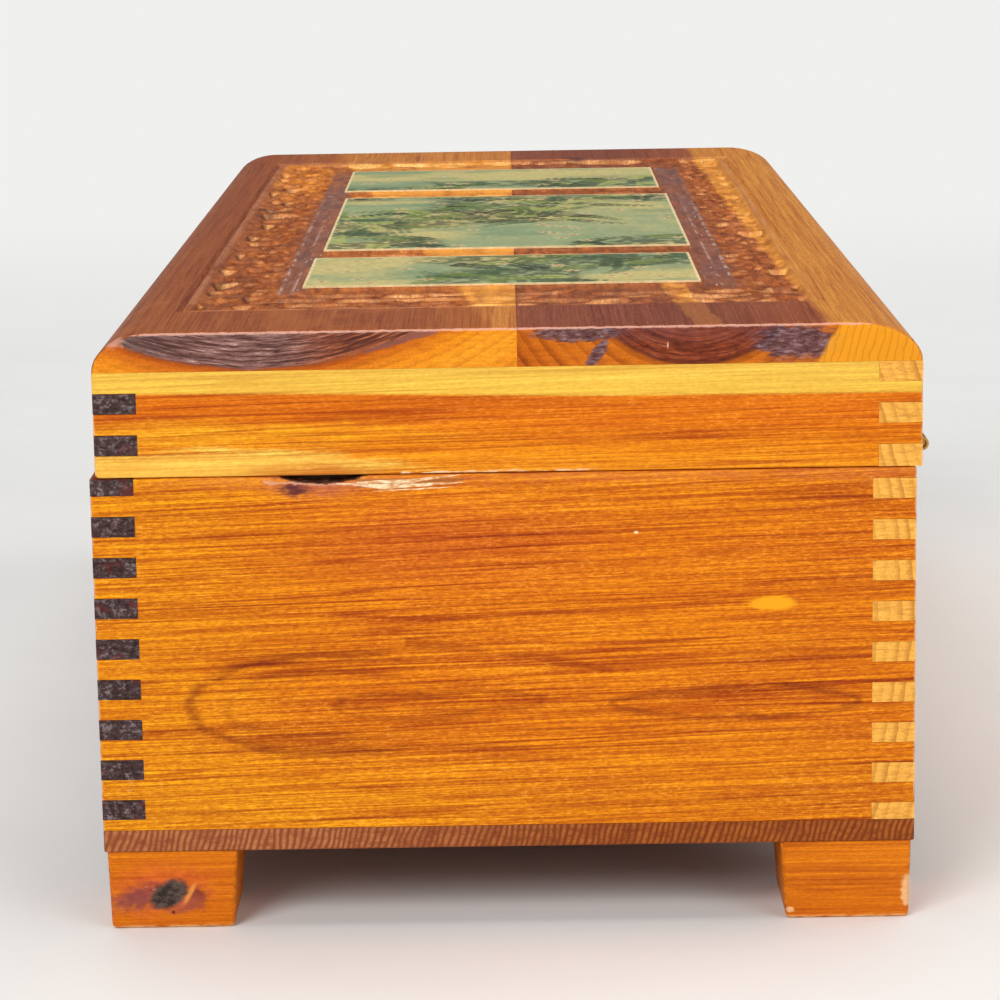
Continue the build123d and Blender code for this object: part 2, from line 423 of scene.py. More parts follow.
def softened(node, material, outline=None, skipped=(), arris=arris_round, joint=joint_line, slack=0.02):
    """A welded copy of a CAD node with rounded outer arrises and finely broken joint edges."""
    mesh = bpy.data.meshes.new(f"{node}_finish")
    shape = bmesh.new()
    shape.from_mesh(frame["nodes"][node].data)
    bmesh.ops.remove_doubles(shape, verts=shape.verts, dist=0.001 * MM)
    bmesh.ops.dissolve_limit(shape, angle_limit=math.radians(1), verts=shape.verts, edges=shape.edges)
    weights = []
    low, high = outline or edges_of(node)
    for edge in shape.edges:
        sharp = len(edge.link_faces) == 2 and edge.calc_face_angle_signed() > math.radians(40)
        middle = (edge.verts[0].co + edge.verts[1].co) / 2
        outer = on_outline(middle, low, high, skipped, slack) >= 2
        weights.append((1.0 if outer else joint / arris) if sharp else 0.0)
    shape.to_mesh(mesh)
    shape.free()
    weight = mesh.attributes.new("bevel_weight_edge", "FLOAT", "EDGE")
    weight.data.foreach_set("value", weights)
    mesh.shade_smooth()
    mesh.set_sharp_from_angle(angle=math.radians(35))
    mesh.materials.append(material)
    piece = link(f"{node}_finish", mesh, node)
    bevel = piece.modifiers.new("rounding", "BEVEL")
    bevel.limit_method = "WEIGHT"
    bevel.width = arris * MM
    bevel.segments = 3
    bevel.use_clamp_overlap = True
    bevel.harden_normals = True
    return piece


def bark_pocket(piece):
    """Cuts the ragged pocket, where bark fell out, from the top edge of the right end board."""
    low_y, high_y = pocket_y
    y = np.linspace(low_y, high_y, 36)
    rise = np.clip(4 * (y - low_y) * (high_y - y) / (high_y - low_y) ** 2, 0, 1) ** 0.75
    floor_z = base_high[2] - pocket_depth * rise * (0.3 + 1.1 * clouds(y, y, 1.8, 3))
    above_z = base_high[2] + 1
    outline = [(y[0], above_z)] + list(zip(y, floor_z)) + [(y[-1], above_z)]
    cutter_mesh = bpy.data.meshes.new("pocket_cutter")
    shape = bmesh.new()
    corners = [shape.verts.new(((base_high[0] + 1) * MM, point[0] * MM, point[1] * MM)) for point in outline]
    face = shape.faces.new(corners)
    pulled = bmesh.ops.extrude_face_region(shape, geom=[face])
    moved = [part for part in pulled["geom"] if isinstance(part, bmesh.types.BMVert)]
    bmesh.ops.translate(shape, verts=moved, vec=(-(pocket_reach + 1) * MM, 0, 0))
    bmesh.ops.recalc_face_normals(shape, faces=shape.faces)
    shape.to_mesh(cutter_mesh)
    shape.free()
    cutter = bpy.data.objects.new("pocket_cutter", cutter_mesh)
    bpy.context.scene.collection.objects.link(cutter)
    cut = piece.modifiers.new("pocket", "BOOLEAN")
    cut.object = cutter
    cut.operation = "DIFFERENCE"
    cut.solver = "EXACT"
    bpy.context.view_layer.update()
    shaped = piece.evaluated_get(bpy.context.evaluated_depsgraph_get())
    mesh = bpy.data.meshes.new_from_object(shaped)
    piece.modifiers.clear()
    piece.data = mesh
    bpy.data.objects.remove(cutter)
    bpy.data.meshes.remove(cutter_mesh)


def loft(name, rings, material, node, **values):
    """A closed solid through rings of points along X, with a value for each point by name."""
    count, size = rings.shape[:2]
    mesh = bpy.data.meshes.new(name)
    index = np.arange(count * size).reshape(count, size)
    following = np.roll(index, -1, axis=1)
    quads = np.stack([index[:-1], following[:-1], following[1:], index[1:]], axis=-1).reshape(-1, 4)
    faces = quads.tolist() + [index[0][::-1].tolist(), index[-1].tolist()]
    mesh.from_pydata((rings.reshape(-1, 3) * MM).tolist(), [], faces)
    for key, value in values.items():
        kind, field = ("FLOAT_COLOR", "color") if value.shape[-1] == 4 else ("FLOAT", "value")
        attribute = mesh.attributes.new(key, kind, "POINT")
        attribute.data.foreach_set(field, value.astype(np.float32).ravel())
    mesh.shade_smooth()
    mesh.set_sharp_from_angle(angle=math.radians(38))
    mesh.materials.append(material)
    return link(name, mesh, node)


def clouds(x, y, size, seed, octaves=3):
    """Smooth noise from 0 to 1 over arrays of points."""
    values = np.zeros(np.broadcast(x, y).shape)
    weight, total = 1.0, 0.0
    for octave in range(octaves):
        cell = size / 2 ** octave
        random = np.random.default_rng(seed * 31 + octave).random((64, 64))
        u, v = x / cell + 1000, y / cell + 1000
        column, row = np.floor(u).astype(int), np.floor(v).astype(int)
        fu, fv = u - column, v - row
        fu, fv = fu * fu * (3 - 2 * fu), fv * fv * (3 - 2 * fv)
        corners = [random[(row + j) % 64, (column + i) % 64] for j in (0, 1) for i in (0, 1)]
        lower = corners[0] * (1 - fu) + corners[1] * fu
        upper = corners[2] * (1 - fu) + corners[3] * fu
        values += weight * (lower * (1 - fv) + upper * fv)
        total += weight
        weight /= 2
    return values / total


def step(value, low, high):
    """A soft step from 0 at low to 1 at high."""
    share = np.clip((value - low) / (high - low), 0, 1)
    return share * share * (3 - 2 * share)


def ridge(distance, half_width):
    """1 on a line, falling evenly to 0 at half_width from it."""
    return np.clip(1 - np.abs(distance) / half_width, 0, 1)


def beyond(value, low, high):
    """How far a value lies outside a range; below 0 inside it."""
    return np.abs(value - (low + high) / 2) - (high - low) / 2


def within(x, y, low, high):
    """How far points lie inside a rectangle; below 0 outside it."""
    return np.minimum.reduce([x - low[0], high[0] - x, y - low[1], high[1] - y])


def turned(dx, dy, turn):
    """Offsets along two axes that are turned by an angle."""
    return dx * math.cos(turn) + dy * math.sin(turn), dy * math.cos(turn) - dx * math.sin(turn)


# Bold gouge marks along the front: where each one's steep wall stands on X, and its outer and inner end on Y
front_wedges = (
    (112, -50.6, -48.6), (103, -43.4, -39.8), (94, -50.3, -45.6), (84, -49.8, -44.6), (67, -49.8, -46.4),
    (44, -48.9, -46.7), (31, -45.6, -43.2), (16, -49.3, -46.4), (-3, -47.6, -44.8), (-21, -49.3, -40.1),
    (-32, -49.1, -38.7), (-45, -46.4, -42.8), (-63, -50.2, -47.9), (-71, -47.0, -41.6), (-92, -50.1, -46.6),
    (-101, -50.4, -47.2),
)


def gouge_cuts():
    """Every gouge cut as (x, y, half length along X, half length along Y, depth, turn, taper, shine).

    A cut ends in a steep wall at its -X end. The wall is tallest at the -Y end where taper is 1, at the +Y
    end where it is -1, and in the middle where it is 0. shine is how much of its wall shows as fresh wood
    with painted light.
    """
    random = np.random.default_rng(5)
    cuts = []

    def vary(value, share=0.25):
        return value * (1 + share * (2 * random.random() - 1))

    def row(along, low, high, pitch, other, spread, half_x, half_y, depth, turn, taper, shine):
        at = low + pitch * random.random()
        while at < high:
            across = other + spread * (random.random() - 0.5)
            x, y = (at, across) if along == "X" else (across, at)
            size = vary(1, 0.35)
            cuts.append((x, y, size * vary(half_x), size * vary(half_y), size * vary(depth),
                         turn * (2 * random.random() - 1), taper, vary(shine, 0.6)))
            at += vary(pitch, 0.6)

    near_x, far_x = groove_high[0] - 5, groove_low[0] + 3
    for wall_x, outer, inner in front_wedges:
        half_x, half_y = vary(4.6), 0.6 * (inner - outer)
        cuts.append((wall_x + half_x, outer + half_y, half_x, half_y, vary(1.3), vary(0.1, 1), 1, 1))
    front, back = panels["middle"][0][1], panels["middle"][1][1]
    row("X", far_x, near_x, 5.6, front - 12.2, 4.6, 3.4, 1.8, 0.65, 0.4, 0.6, 0.5)
    row("X", far_x, near_x, 5.0, front - 9.2, 3.4, 2.6, 1.5, 0.65, 0.7, 0, 0.35)
    row("X", far_x, near_x, 4.2, front - 6.8, 2.4, 1.8, 1.2, 0.7, 1.2, 0, 0.35)
    for offset, taper in ((7.6, 0), (9.8, 0), (12.0, 0.5), (14.2, -0.5)):
        row("X", far_x, near_x, 4.4, back + offset, 2.8, 2.3, 1.4, 0.65, 0.9, taper, 0.6)
    row("X", far_x, near_x, 8.5, back_sap_y + 0.4, 1.6, 3.4, 2.4, 0.85, 0.3, 0.4, 0.8)
    for x in (104.8, 109.4, 114.0, 118.4):
        row("Y", front - 6, back + 14, 15.0, x, 2.4, 2.6, 6.4, 0.8, 0.16, 0, 0.8)
    for x in (groove_low[0] + 4.5, groove_low[0] + 8.0):
        row("Y", front - 10, back + 14, 8.0, x, 1.2, 2.2, 4.5, 0.7, 0.2, 0, 0.7)
    for left, right in (("left", "middle"), ("middle", "right")):
        middle = (panels[left][1][0] + panels[right][0][0]) / 2
        row("Y", front, back, 10.0, middle, 0.8, 2.4, 6.0, 0.6, 0.1, 0, 0.7)
    return cuts


def relief(x, y):
    """Height of the carved lid above its flat face, and masks from 0 to 1 for what its material shows."""
    inside = within(x, y, groove_low, groove_high) + 0.3 * (clouds(x, y, 5.0, 21) - 0.5)
    faint = 1 - 0.65 * step(x, 0, 70) * (y > 0)
    groove = -groove_depth * faint * ridge(inside - groove_half_width, groove_half_width)
    deeper = (field_depth - ribbon_drop) * step(inside, 1.6, ribbon_end + 0.8)
    height = np.minimum(groove, -ribbon_drop * step(inside, 0.4, 1.1) - deeper)
    ribbon = step(inside, 0.8, 1.2) * step(inside, ribbon_end, ribbon_end - 0.5) * faint

    carved = np.zeros_like(x)
    hook_shadow = np.zeros_like(x)
    shine = np.full_like(x, 0.3)
    for cut_x, cut_y, half_x, half_y, depth, turn, taper, bright in gouge_cuts():
        reach = half_x + half_y
        near = (np.abs(x - cut_x) < reach) & (np.abs(y - cut_y) < reach)
        if not near.any():
            continue
        u, v = turned(x[near] - cut_x, y[near] - cut_y, turn)
        u, v = u / half_x, v / half_y
        narrowing = np.clip(1 - v * v, 0, 1)
        wedge = np.clip((1 - taper * v) / (1 + abs(taper)), 0, 1) * step(narrowing, 0, 0.35)
        swell = (1 - abs(taper)) * np.sqrt(narrowing) + abs(taper) * wedge
        share = (u + 1) / 2
        wall = gouge_wall / (2 * half_x)
        profile = np.clip(np.where(share < wall, share / wall, (1 - share) / (1 - wall)), 0, 1)
        scooped = -depth * swell * profile
        shine[near] = np.where(scooped < carved[near], bright, shine[near])
        carved[near] = np.minimum(carved[near], scooped)
        # painted shadow: a dark pocket at the outer end of each bold wedge's wall
        if taper == 1:
            dark = step(v, -0.35, -0.7) * step(v, -1.3, -1.1) * step(share, 0.6, 0.35)
            hook_shadow[near] = np.maximum(hook_shadow[near], dark * step(share, -0.06, 0.02))
    rugged = field_ruggedness * (clouds(0.6 * x, y, 2.4, 9) - 0.5)
    height = height + step(inside, ribbon_end - 0.2, ribbon_end + 0.8) * (carved + rugged)

    strip = beyond(y, panels["middle"][0][1], panels["middle"][1][1])
    along = step(np.abs(x), strip_end_x + 4, strip_end_x)
    sunk = -sunk_depth * step(strip, strip_land, strip_land + 0.4)
    bead = ridge(strip - strip_sunk, 0.45)
    land_edge = ridge(strip - strip_land - 0.3, 0.4)
    in_strip = along * step(strip, -0.4, 0.0) * step(strip, strip_sunk + 0.6, strip_sunk)
    height = height * (1 - in_strip) + in_strip * (sunk + bead_height * bead)
    for low, high in panels.values():
        gap = np.maximum(beyond(x, low[0], high[0]), beyond(y, low[1], high[1]))
        height = height * step(gap, 0.15, 1.5)
    field = step(inside, ribbon_end - 0.4, ribbon_end + 0.4) * (1 - in_strip)
    return height, {
        "ribbon": ribbon, "strip": in_strip, "hook_shadow": hook_shadow * field, "field": field, "shine": shine,
        "bead": np.maximum(bead, land_edge) * in_strip,
    }


def lines(*spans):
    """Places along an axis: spans are (low, high, step)."""
    places = [np.linspace(low, high, max(2, round((high - low) / size) + 1)) for low, high, size in spans]
    return np.unique(np.concatenate(places).round(5))


def lid_board(node, material, side):
    """One carved board of the lid top: side is -1 for the front one and 1 for the back one."""
    edge_y = top_low[1] if side < 0 else top_high[1]
    edge_round = front_edge_round if side < 0 else back_edge_round
    panel_y = panels["middle"][0][1] if side < 0 else panels["middle"][1][1]
    low_z, high_z = top_low[2], panels["middle"][0][2]
    turns = np.radians(np.linspace(0, 90, 15))[:-1]
    oval_y = edge_y - side * edge_round * (1 - np.cos(turns))
    oval_z = low_z + (high_z - low_z) * np.sin(turns)
    outer, inner, joint = edge_y - side * edge_round, panel_y - side * 2.0, glue_y + side * glue_line_bevel
    flat_y = lines((*sorted((outer, inner)), 0.36), (*sorted((inner, joint)), 0.62))
    if side > 0:
        flat_y = flat_y[::-1]
    profile_y = np.concatenate([oval_y, flat_y, [glue_y, glue_y]])
    profile_z = np.concatenate([oval_z, np.full(len(flat_y), high_z), [high_z - glue_line_bevel, low_z]])
    tangent_y, tangent_z = np.gradient(profile_y), np.gradient(profile_z)
    length = np.hypot(tangent_y, tangent_z)
    normal_y, normal_z = side * tangent_z / length, -side * tangent_y / length
    normal_y[0], normal_z[0] = side, 0
    normal_y[-2:] = 0
    normal_z[-2:] = 0

    bends = np.radians(np.linspace(0, 90, 5))
    round_x = half_length - lid_end_round * (1 - np.sin(bends))
    inner_x = half_length - lid_end_round
    carved_low, carved_high = groove_low[0] - 1.5, groove_high[0] + 1.5
    middle_x = lines((-inner_x, carved_low, plain_step), (carved_low, carved_high, carving_step),
                     (carved_high, inner_x, plain_step))
    stations = np.unique(np.concatenate([round_x, -round_x, middle_x]).round(5))
    past = np.maximum(np.abs(stations) - inner_x, 0) / lid_end_round
    inset = lid_end_round * (1 - np.sqrt(np.clip(1 - past ** 2, 0, 1)))

    x, y = np.meshgrid(stations, profile_y, indexing="ij")
    z = np.broadcast_to(profile_z, x.shape) - inset[:, None] * normal_z
    y = y - inset[:, None] * normal_y
    flat = slice(len(oval_y), -2)
    height = np.zeros_like(x)
    height[:, flat], masks = relief(x[:, flat], y[:, flat])
    values = {name: np.zeros_like(x) for name in masks}
    for name, mask in masks.items():
        values[name][:, flat] = mask
    # cut marks the steep walls that face +X, towards the lamps and camera: they get fresh wood and painted
    # light
    values["cut"] = values.pop("shine") * step(-np.gradient(height, stations, axis=0), 0.15, 0.8)
    # painted shade: darker where the carving is deepest
    values["recess_shade"] = step(-height, 0.3, 1.3)
    points = np.stack([x, y, z + height], axis=-1)
    if side > 0:
        points = points[:, ::-1]
        values = {name: value[:, ::-1] for name, value in values.items()}
    values = {name: value[..., None] for name, value in values.items()}
    return loft(f"{node}_finish", points, material, node, **values)


def worn_highlit_edges(wood, low, high, share=0.6):
    """Pale worn wood and a painted highlight on the arrises down the two upright corners of an end between
    the corners low and high.
    """
    edge = wood.y.smooth(low[1] + 0.32, low[1] + 0.12) + wood.y.smooth(high[1] - 0.32, high[1] - 0.12)
    patchy = wood.noise((1, 1, 2.5), 12.2, 3.0, 0.6).smooth(0.34, 0.56)
    # pale worn wood and a painted highlight on the rounded upright arrises
    wood.lay(edge * patchy * wood.facing[1].smooth(0.97, 0.85) * share, (246, 196, 150))


def base_end_tones(wood):
    """The right end's tones: yellower at the front and bottom, darker at the back, red above."""
    ragged = wood.noise((20, 20, 3), 4.4, 3.0, 0.6).around(0.4)
    wood.lay(wood.y.smooth(-15, -60) * 0.45, (244, 158, 6))
    wood.lay(wood.y.smooth(10, 60) * 0.3, (206, 98, 2))
    wood.lay(wood.z.smooth(34, 18) * wood.y.smooth(30, -60, 0.3, 0.7), (250, 164, 16))
    wood.lay(wood.end_spot(-12, 61, 36, 12, 0.0, ragged) * 0.5, (206, 84, 30))


def base_end_marks(wood):
    """Cathedral figure, rubbed rim, painted shade in the bark pocket, and small blemishes of the right end.
    """
    grit = wood.noise((0.5, 1.6, 0.5), 4.4, 3.0, 0.7)
    ragged = grit.around(0.6)
    smudge = wood.noise((9, 6, 1.6), 14.3, 3.0, 0.6)
    wavering = smudge.around(0.9) + wood.noise((30, 14, 4), 3.3).around(1.4)
    broken = smudge.smooth(0.3, 0.5)
    fading = wood.y.smooth(-12, -24)
    for ellipse, thick, share in (
            ((-27, 35.9, 23.6, 7.8), 1.4, fading * 0.85), ((-28, 35.4, 17.0, 5.2), 1.1, fading * 0.4),
            ((-17, 35.0, 11.0, 1.9), 0.9, 0.45), ((-12, 35.8, 15.0, 1.4), 0.8, 0.5),
            ((33, 35, 19.0, 2.2), 0.9, 0.75)):
        wood.deepen(wood.loop(*ellipse, thick, wavering) * broken * share, (0.52, 0.36, 0.34))
    band = wood.stroke((-17, 45.2), (14, 40.6), (1.2, 0.6), wavering)
    wood.deepen(band * broken * 0.6, (0.62, 0.44, 0.4))

    rim = (wood.z + grit.around(3.0) + smudge.around(2.0)).smooth(68.4, 71.4)
    rim = rim * wood.y.smooth(-60, -45) * 0.35
    wood.lay(rim, (206, 112, 66))
    wood.lay(wood.end_spot(-30, 70.2, 11, 3.6, 0.0, ragged) * 0.7, (176, 84, 74))
    wood.lay(wood.end_spot(-33.3, 69.2, 3.4, 1.5, 0.1, ragged) * 0.9, (72, 26, 44))

    slip = wood.noise((2, 3.5, 0.8), 6.1, 3.0, 0.7).around(0.22) + grit.around(0.12)
    wood.lay(wood.stroke((-24, 69.9), (-8, 70.3), (0.9, 0.3), slip) * 0.7, (150, 92, 50))
    sliver = wood.between(grit.smooth(0.35, 0.6), (214, 150, 92), (255, 226, 182))
    for start, end, thick in (
            ((-27.0, 70.0), (-19.5, 69.35), (0.12, 0.55)), ((-19.6, 69.35), (-7.5, 69.85), (0.55, 0.03)),
            ((-24.0, 70.1), (-16.0, 70.15), (0.15, 0.42)), ((-16.1, 70.15), (-8.5, 71.0), (0.42, 0.06)),
            ((-21.5, 68.7), (-14.0, 68.95), (0.05, 0.12)), ((-14.1, 68.95), (-9.0, 69.2), (0.12, 0.03))):
        wood.lay(wood.stroke(start, end, thick, slip), sliver)
    fringe = wood.stroke((-38, 70.35), (-22.5, 69.75), (0.3, 0.3), grit.around(0.8))
    wood.lay(fringe * 0.5, (226, 178, 150))
    # painted shade filling the bark pocket
    pocket = wood.end_spot(-29.2, 71.5, 7.4, 1.75, 0.8, ragged * 0.5)
    wood.lay(pocket, wood.between(grit, (30, 14, 10), (92, 58, 38)))

    rubbed = wood.end_spot(38.7, 50.4, 4.4, 1.35, 0.6, grit.around(0.25), depth=3)
    wood.lay(rubbed * 0.95, (250, 166, 22))
    wood.lay(wood.end_spot(18.1, 61.7, 0.45, 0.3, 0.4, depth=1), (240, 222, 160))
    scratch = wood.loop(-60.2, 23.1, 0.75, 0.6, 0.16, grit.around(0.3))
    wood.lay(scratch * broken * 0.7, (240, 200, 170))
    worn_highlit_edges(wood, base_low, base_high)
    wood.rough = wood.rough + rim * 0.2


def lid_end_bands(wood):
    """Height on the lid's end boards, tilted as the colour bands are."""
    return wood.z + wood.y * 0.013 + wood.noise((200, 45, 200), 6.0, 1.0).around(0.5)


def lid_end_tones(wood):
    """Yellow patches at the lower front corner of the lid's ends."""
    ragged = wood.noise((9, 12, 1.2), 3.4, 3.0, 0.6).around(0.6)
    wood.lay(wood.end_spot(-56, 77.6, 60, 3.4, 0.1, ragged, depth=600) * 0.8, (254, 172, 28))
    wood.lay(wood.end_spot(-50, 72.6, 38, 3.6, 0.45, ragged, depth=600) * 0.85, (255, 204, 88))


def lid_end_marks(wood):
    """The even pale strip at the top, a stain low down, the rubbed lower edge, and worn corners with a
    painted highlight.
    """
    ragged = wood.noise((9, 9, 1.2), 3.4, 3.0, 0.6).around(0.5)
    wood.lay(wood.zone.smooth(83.1, 83.6) * 0.5, (244, 194, 76))
    wood.lay(wood.end_spot(-48, 72.4, 30, 3.2, 0.4, ragged, depth=600) * 0.5, (252, 188, 72))
    wood.lay(wood.end_spot(-31, 71.3, 15, 2.6, 0.2, ragged, depth=600) * 0.75, (190, 88, 12))
    chafing = wood.noise((1, 2, 0.3), 8.6)
    rubbed = wood.stroke((-17, 71.5), (12, 71.6), (0.3, 0.12), chafing.around(0.3))
    outer = wood.x.smooth(half_length - 0.4, half_length - 0.1)
    wood.lay(rubbed * outer * chafing.smooth(0.44, 0.6), (246, 206, 160))
    worn_highlit_edges(wood, lid_low, lid_high)
    wood.lay(wood.end_spot(-64, 71.3, 1.1, 0.8, 0.6, ragged, depth=4), (70, 40, 36))


def pale_fingers(low, high):
    """Fine level lines across the pale end grain of the back fingers, and worn corners with a painted
    highlight.
    """
    def marks(wood):
        level_lines = wood.noise((9, 8, 1.1), 2.7, 1.0).contours(0.03)
        wood.lay(wood.end_grain * level_lines * 0.5, (196, 128, 50))
        worn_highlit_edges(wood, low, high, 0.4)
    return marks


def dark_fingers(wood):
    """Pale and reddish specks in the dark end grain of the front fingers."""
    speck = wood.noise((1.1, 1.0, 0.7), 5.9, 4.0, 0.75)
    wood.lay(wood.end_grain * speck.smooth(0.5, 0.68) * 0.7, (148, 132, 132))
    wood.lay(wood.end_grain * speck.smooth(0.46, 0.34) * 0.75, (34, 18, 20))
    wood.lay(wood.end_grain * wood.noise((3, 3, 2), 1.9).smooth(0.54, 0.66) * 0.5, (104, 40, 34))


def carving(wood, sap):
    """Fresh wood and painted light on the gouge walls that face the lamps, painted shade in the bottoms and
    hooks of the cuts, and painted highlights on the groove's lip, the beads and the end arris.

    sap is 1 where the carved field is sapwood, which shows brighter there than on the stained border.
    """
    masks = ("cut", "recess_shade", "hook_shadow", "ribbon", "strip", "field", "bead")
    cut, recess_shade, hook_shadow, ribbon, strip, field, bead = (wood.attribute(name) for name in masks)
    grit = wood.noise((1.2, 0.4, 0.6), 8.1, 3.0, 0.7)
    mottle = wood.noise((9, 3.5, 3.5), 18.1, 3.0, 0.6)
    uneven = wood.noise((7, 5, 5), 31.0).smooth(0.36, 0.6)
    wood.tint(mottle, (0.6, 0.46, 0.38), (1.34, 1.4, 1.3), 0.16, field)
    wood.lay(field * mottle * 0.5, (208, 118, 50))
    flakes = wood.noise((3.2, 1.3, 1.3), 34.0, 3.0, 0.65)
    wood.tint(flakes, (0.62, 0.5, 0.42), (1.22, 1.3, 1.25), 0.16, field)
    wood.lay(field * sap * mottle.smooth(0.15, 0.6) * 0.75, (238, 158, 60))
    # painted shade in the bottoms of the cuts
    wood.deepen(recess_shade * (1 - cut) * 0.65, (0.5, 0.32, 0.24))
    # fresh-cut wood with painted light on the walls that face the lamps
    fresh_lit_wood = wood.between(sap, (250, 176, 100), (255, 202, 104))
    wood.lay(cut * grit.smooth(0.2, 0.55) * (uneven * 0.5 + 0.3), fresh_lit_wood)
    # painted highlight: pale glare on the lit walls
    wood.lay(cut * grit.smooth(0.54, 0.66) * uneven * 0.7, (255, 222, 190))
    # painted shadow in the hooks beside the wedge walls
    wood.lay(hook_shadow * grit.smooth(0.25, 0.5) * 0.65, (62, 26, 22))
    # painted highlight along the groove's inner lip
    wood.lay(ribbon * mottle.smooth(0.3, 0.6) * 0.32, (214, 152, 112))
    wood.lay(strip * 0.3, (166, 102, 74))
    purple = wood.noise((16, 6, 6), 27.0, 3.0).smooth(0.4, 0.62)
    wood.lay(strip * purple * 0.6, (124, 82, 76))
    blotches = wood.noise((7, 2.4, 2.4), 44.0, 3.0, 0.6)
    wood.tint(blotches, (0.68, 0.6, 0.6), (1.24, 1.3, 1.3), 0.16, strip)
    glints = wood.noise((3.2, 0.5, 0.5), 17.0, 2.0, 0.6).smooth(0.67, 0.72)
    wood.lay(glints * strip * 0.8, (238, 206, 190))
    # painted highlights: bright dashes along the beads and the land edges of the strips
    bead_glints = wood.noise((5, 6, 30), 41.0, 3.0, 0.6).smooth(0.48, 0.56)
    wood.lay(bead * bead_glints * wood.x.smooth(-90, 40) * 0.75, (236, 200, 180))
    # painted highlight: a thin pale line along the rounded top arris at each end
    arris_highlight_wobble = wood.noise((0.6, 1.3, 0.6), 23.0, 4.0, 0.7).around(0.3)
    end = (abs(wood.x) + arris_highlight_wobble).smooth(half_length - 0.42, half_length - 0.3)
    wood.lay(end * (wood.z + arris_highlight_wobble).smooth(92.84, 93.0) * 0.7, (228, 172, 150))
    nicks = wood.noise((2.2, 1.8, 1.8), 52.0, 2.0, 0.6).smooth(0.66, 0.7)
    wood.lay(nicks * wood.y.smooth(-57.5, -59.5) * 0.55, (214, 138, 92))
    wood.rough = wood.rough - strip * 0.08


def front_carving(wood):
    """The lid's front board: marbled lens and stained streak on its end, and brown patches on top."""
    x, y, bent = wood.x, wood.y, wood.bent
    top = 1 - wood.end_grain
    right_end = wood.end_grain * x.smooth(0, 10)
    warm = wood.noise((14, 9, 9), 2.6, 3.0, 0.6).smooth(0.44, 0.64)
    wood.lay(top * wood.zone.smooth(-6, -14) * warm * x.smooth(95, 125) * 0.4, (186, 104, 44))
    far = x.smooth(-20, -90) * y.smooth(-54, -50) * y.smooth(-36, -41)
    wood.lay(top * far * wood.attribute("field") * 0.8, (226, 140, 44))

    marble = wood.noise((1, 2.6, 0.3), 5.5, 4.0, 0.7, bent)
    veins = wood.ramp(marble, [
        (0.3, 60, 32, 34), (0.43, 122, 86, 80), (0.56, 156, 114, 104), (0.7, 214, 182, 172)])
    grey = wood.ramp(marble, [(0.35, 64, 54, 54), (0.65, 112, 100, 98)])
    veins = wood.blend(y.smooth(-46, -60) * 0.6, veins, grey)
    red = wood.ramp(marble, [(0.35, 116, 54, 34), (0.6, 190, 98, 38)])
    veins = wood.blend(y.smooth(-36, -26) * 0.75, veins, red)
    for size, thin in (((1, 40, 1.5), 0.05), ((1, 22, 0.8), 0.07)):
        cracks = wood.noise(size, 6.2, place=bent).contours(thin)
        veins = wood.blend(cracks * 0.75, veins, tone(60, 28, 26))
    wood.lay(right_end * wood.distance.smooth(59.3, 58.7) * 0.9, veins)
    ragged = wood.noise((5, 2, 0.6), 7.7, 3.0, 0.6).around(0.6)
    streak = right_end * wood.stroke((-22.5, 89.9), (-11.5, 93.3), (0.25, 1.0), ragged * 0.5)
    wood.lay(streak * 0.85, wood.between(marble, (84, 46, 48), (164, 104, 88)))
    wood.lay(wood.spot((145, -60.2, 92.0), (2.5, 2.6, 1.4), 0.3, ragged) * 0.6, (226, 164, 140))
    carving(wood, wood.zone.smooth(-0.6, 0.8))


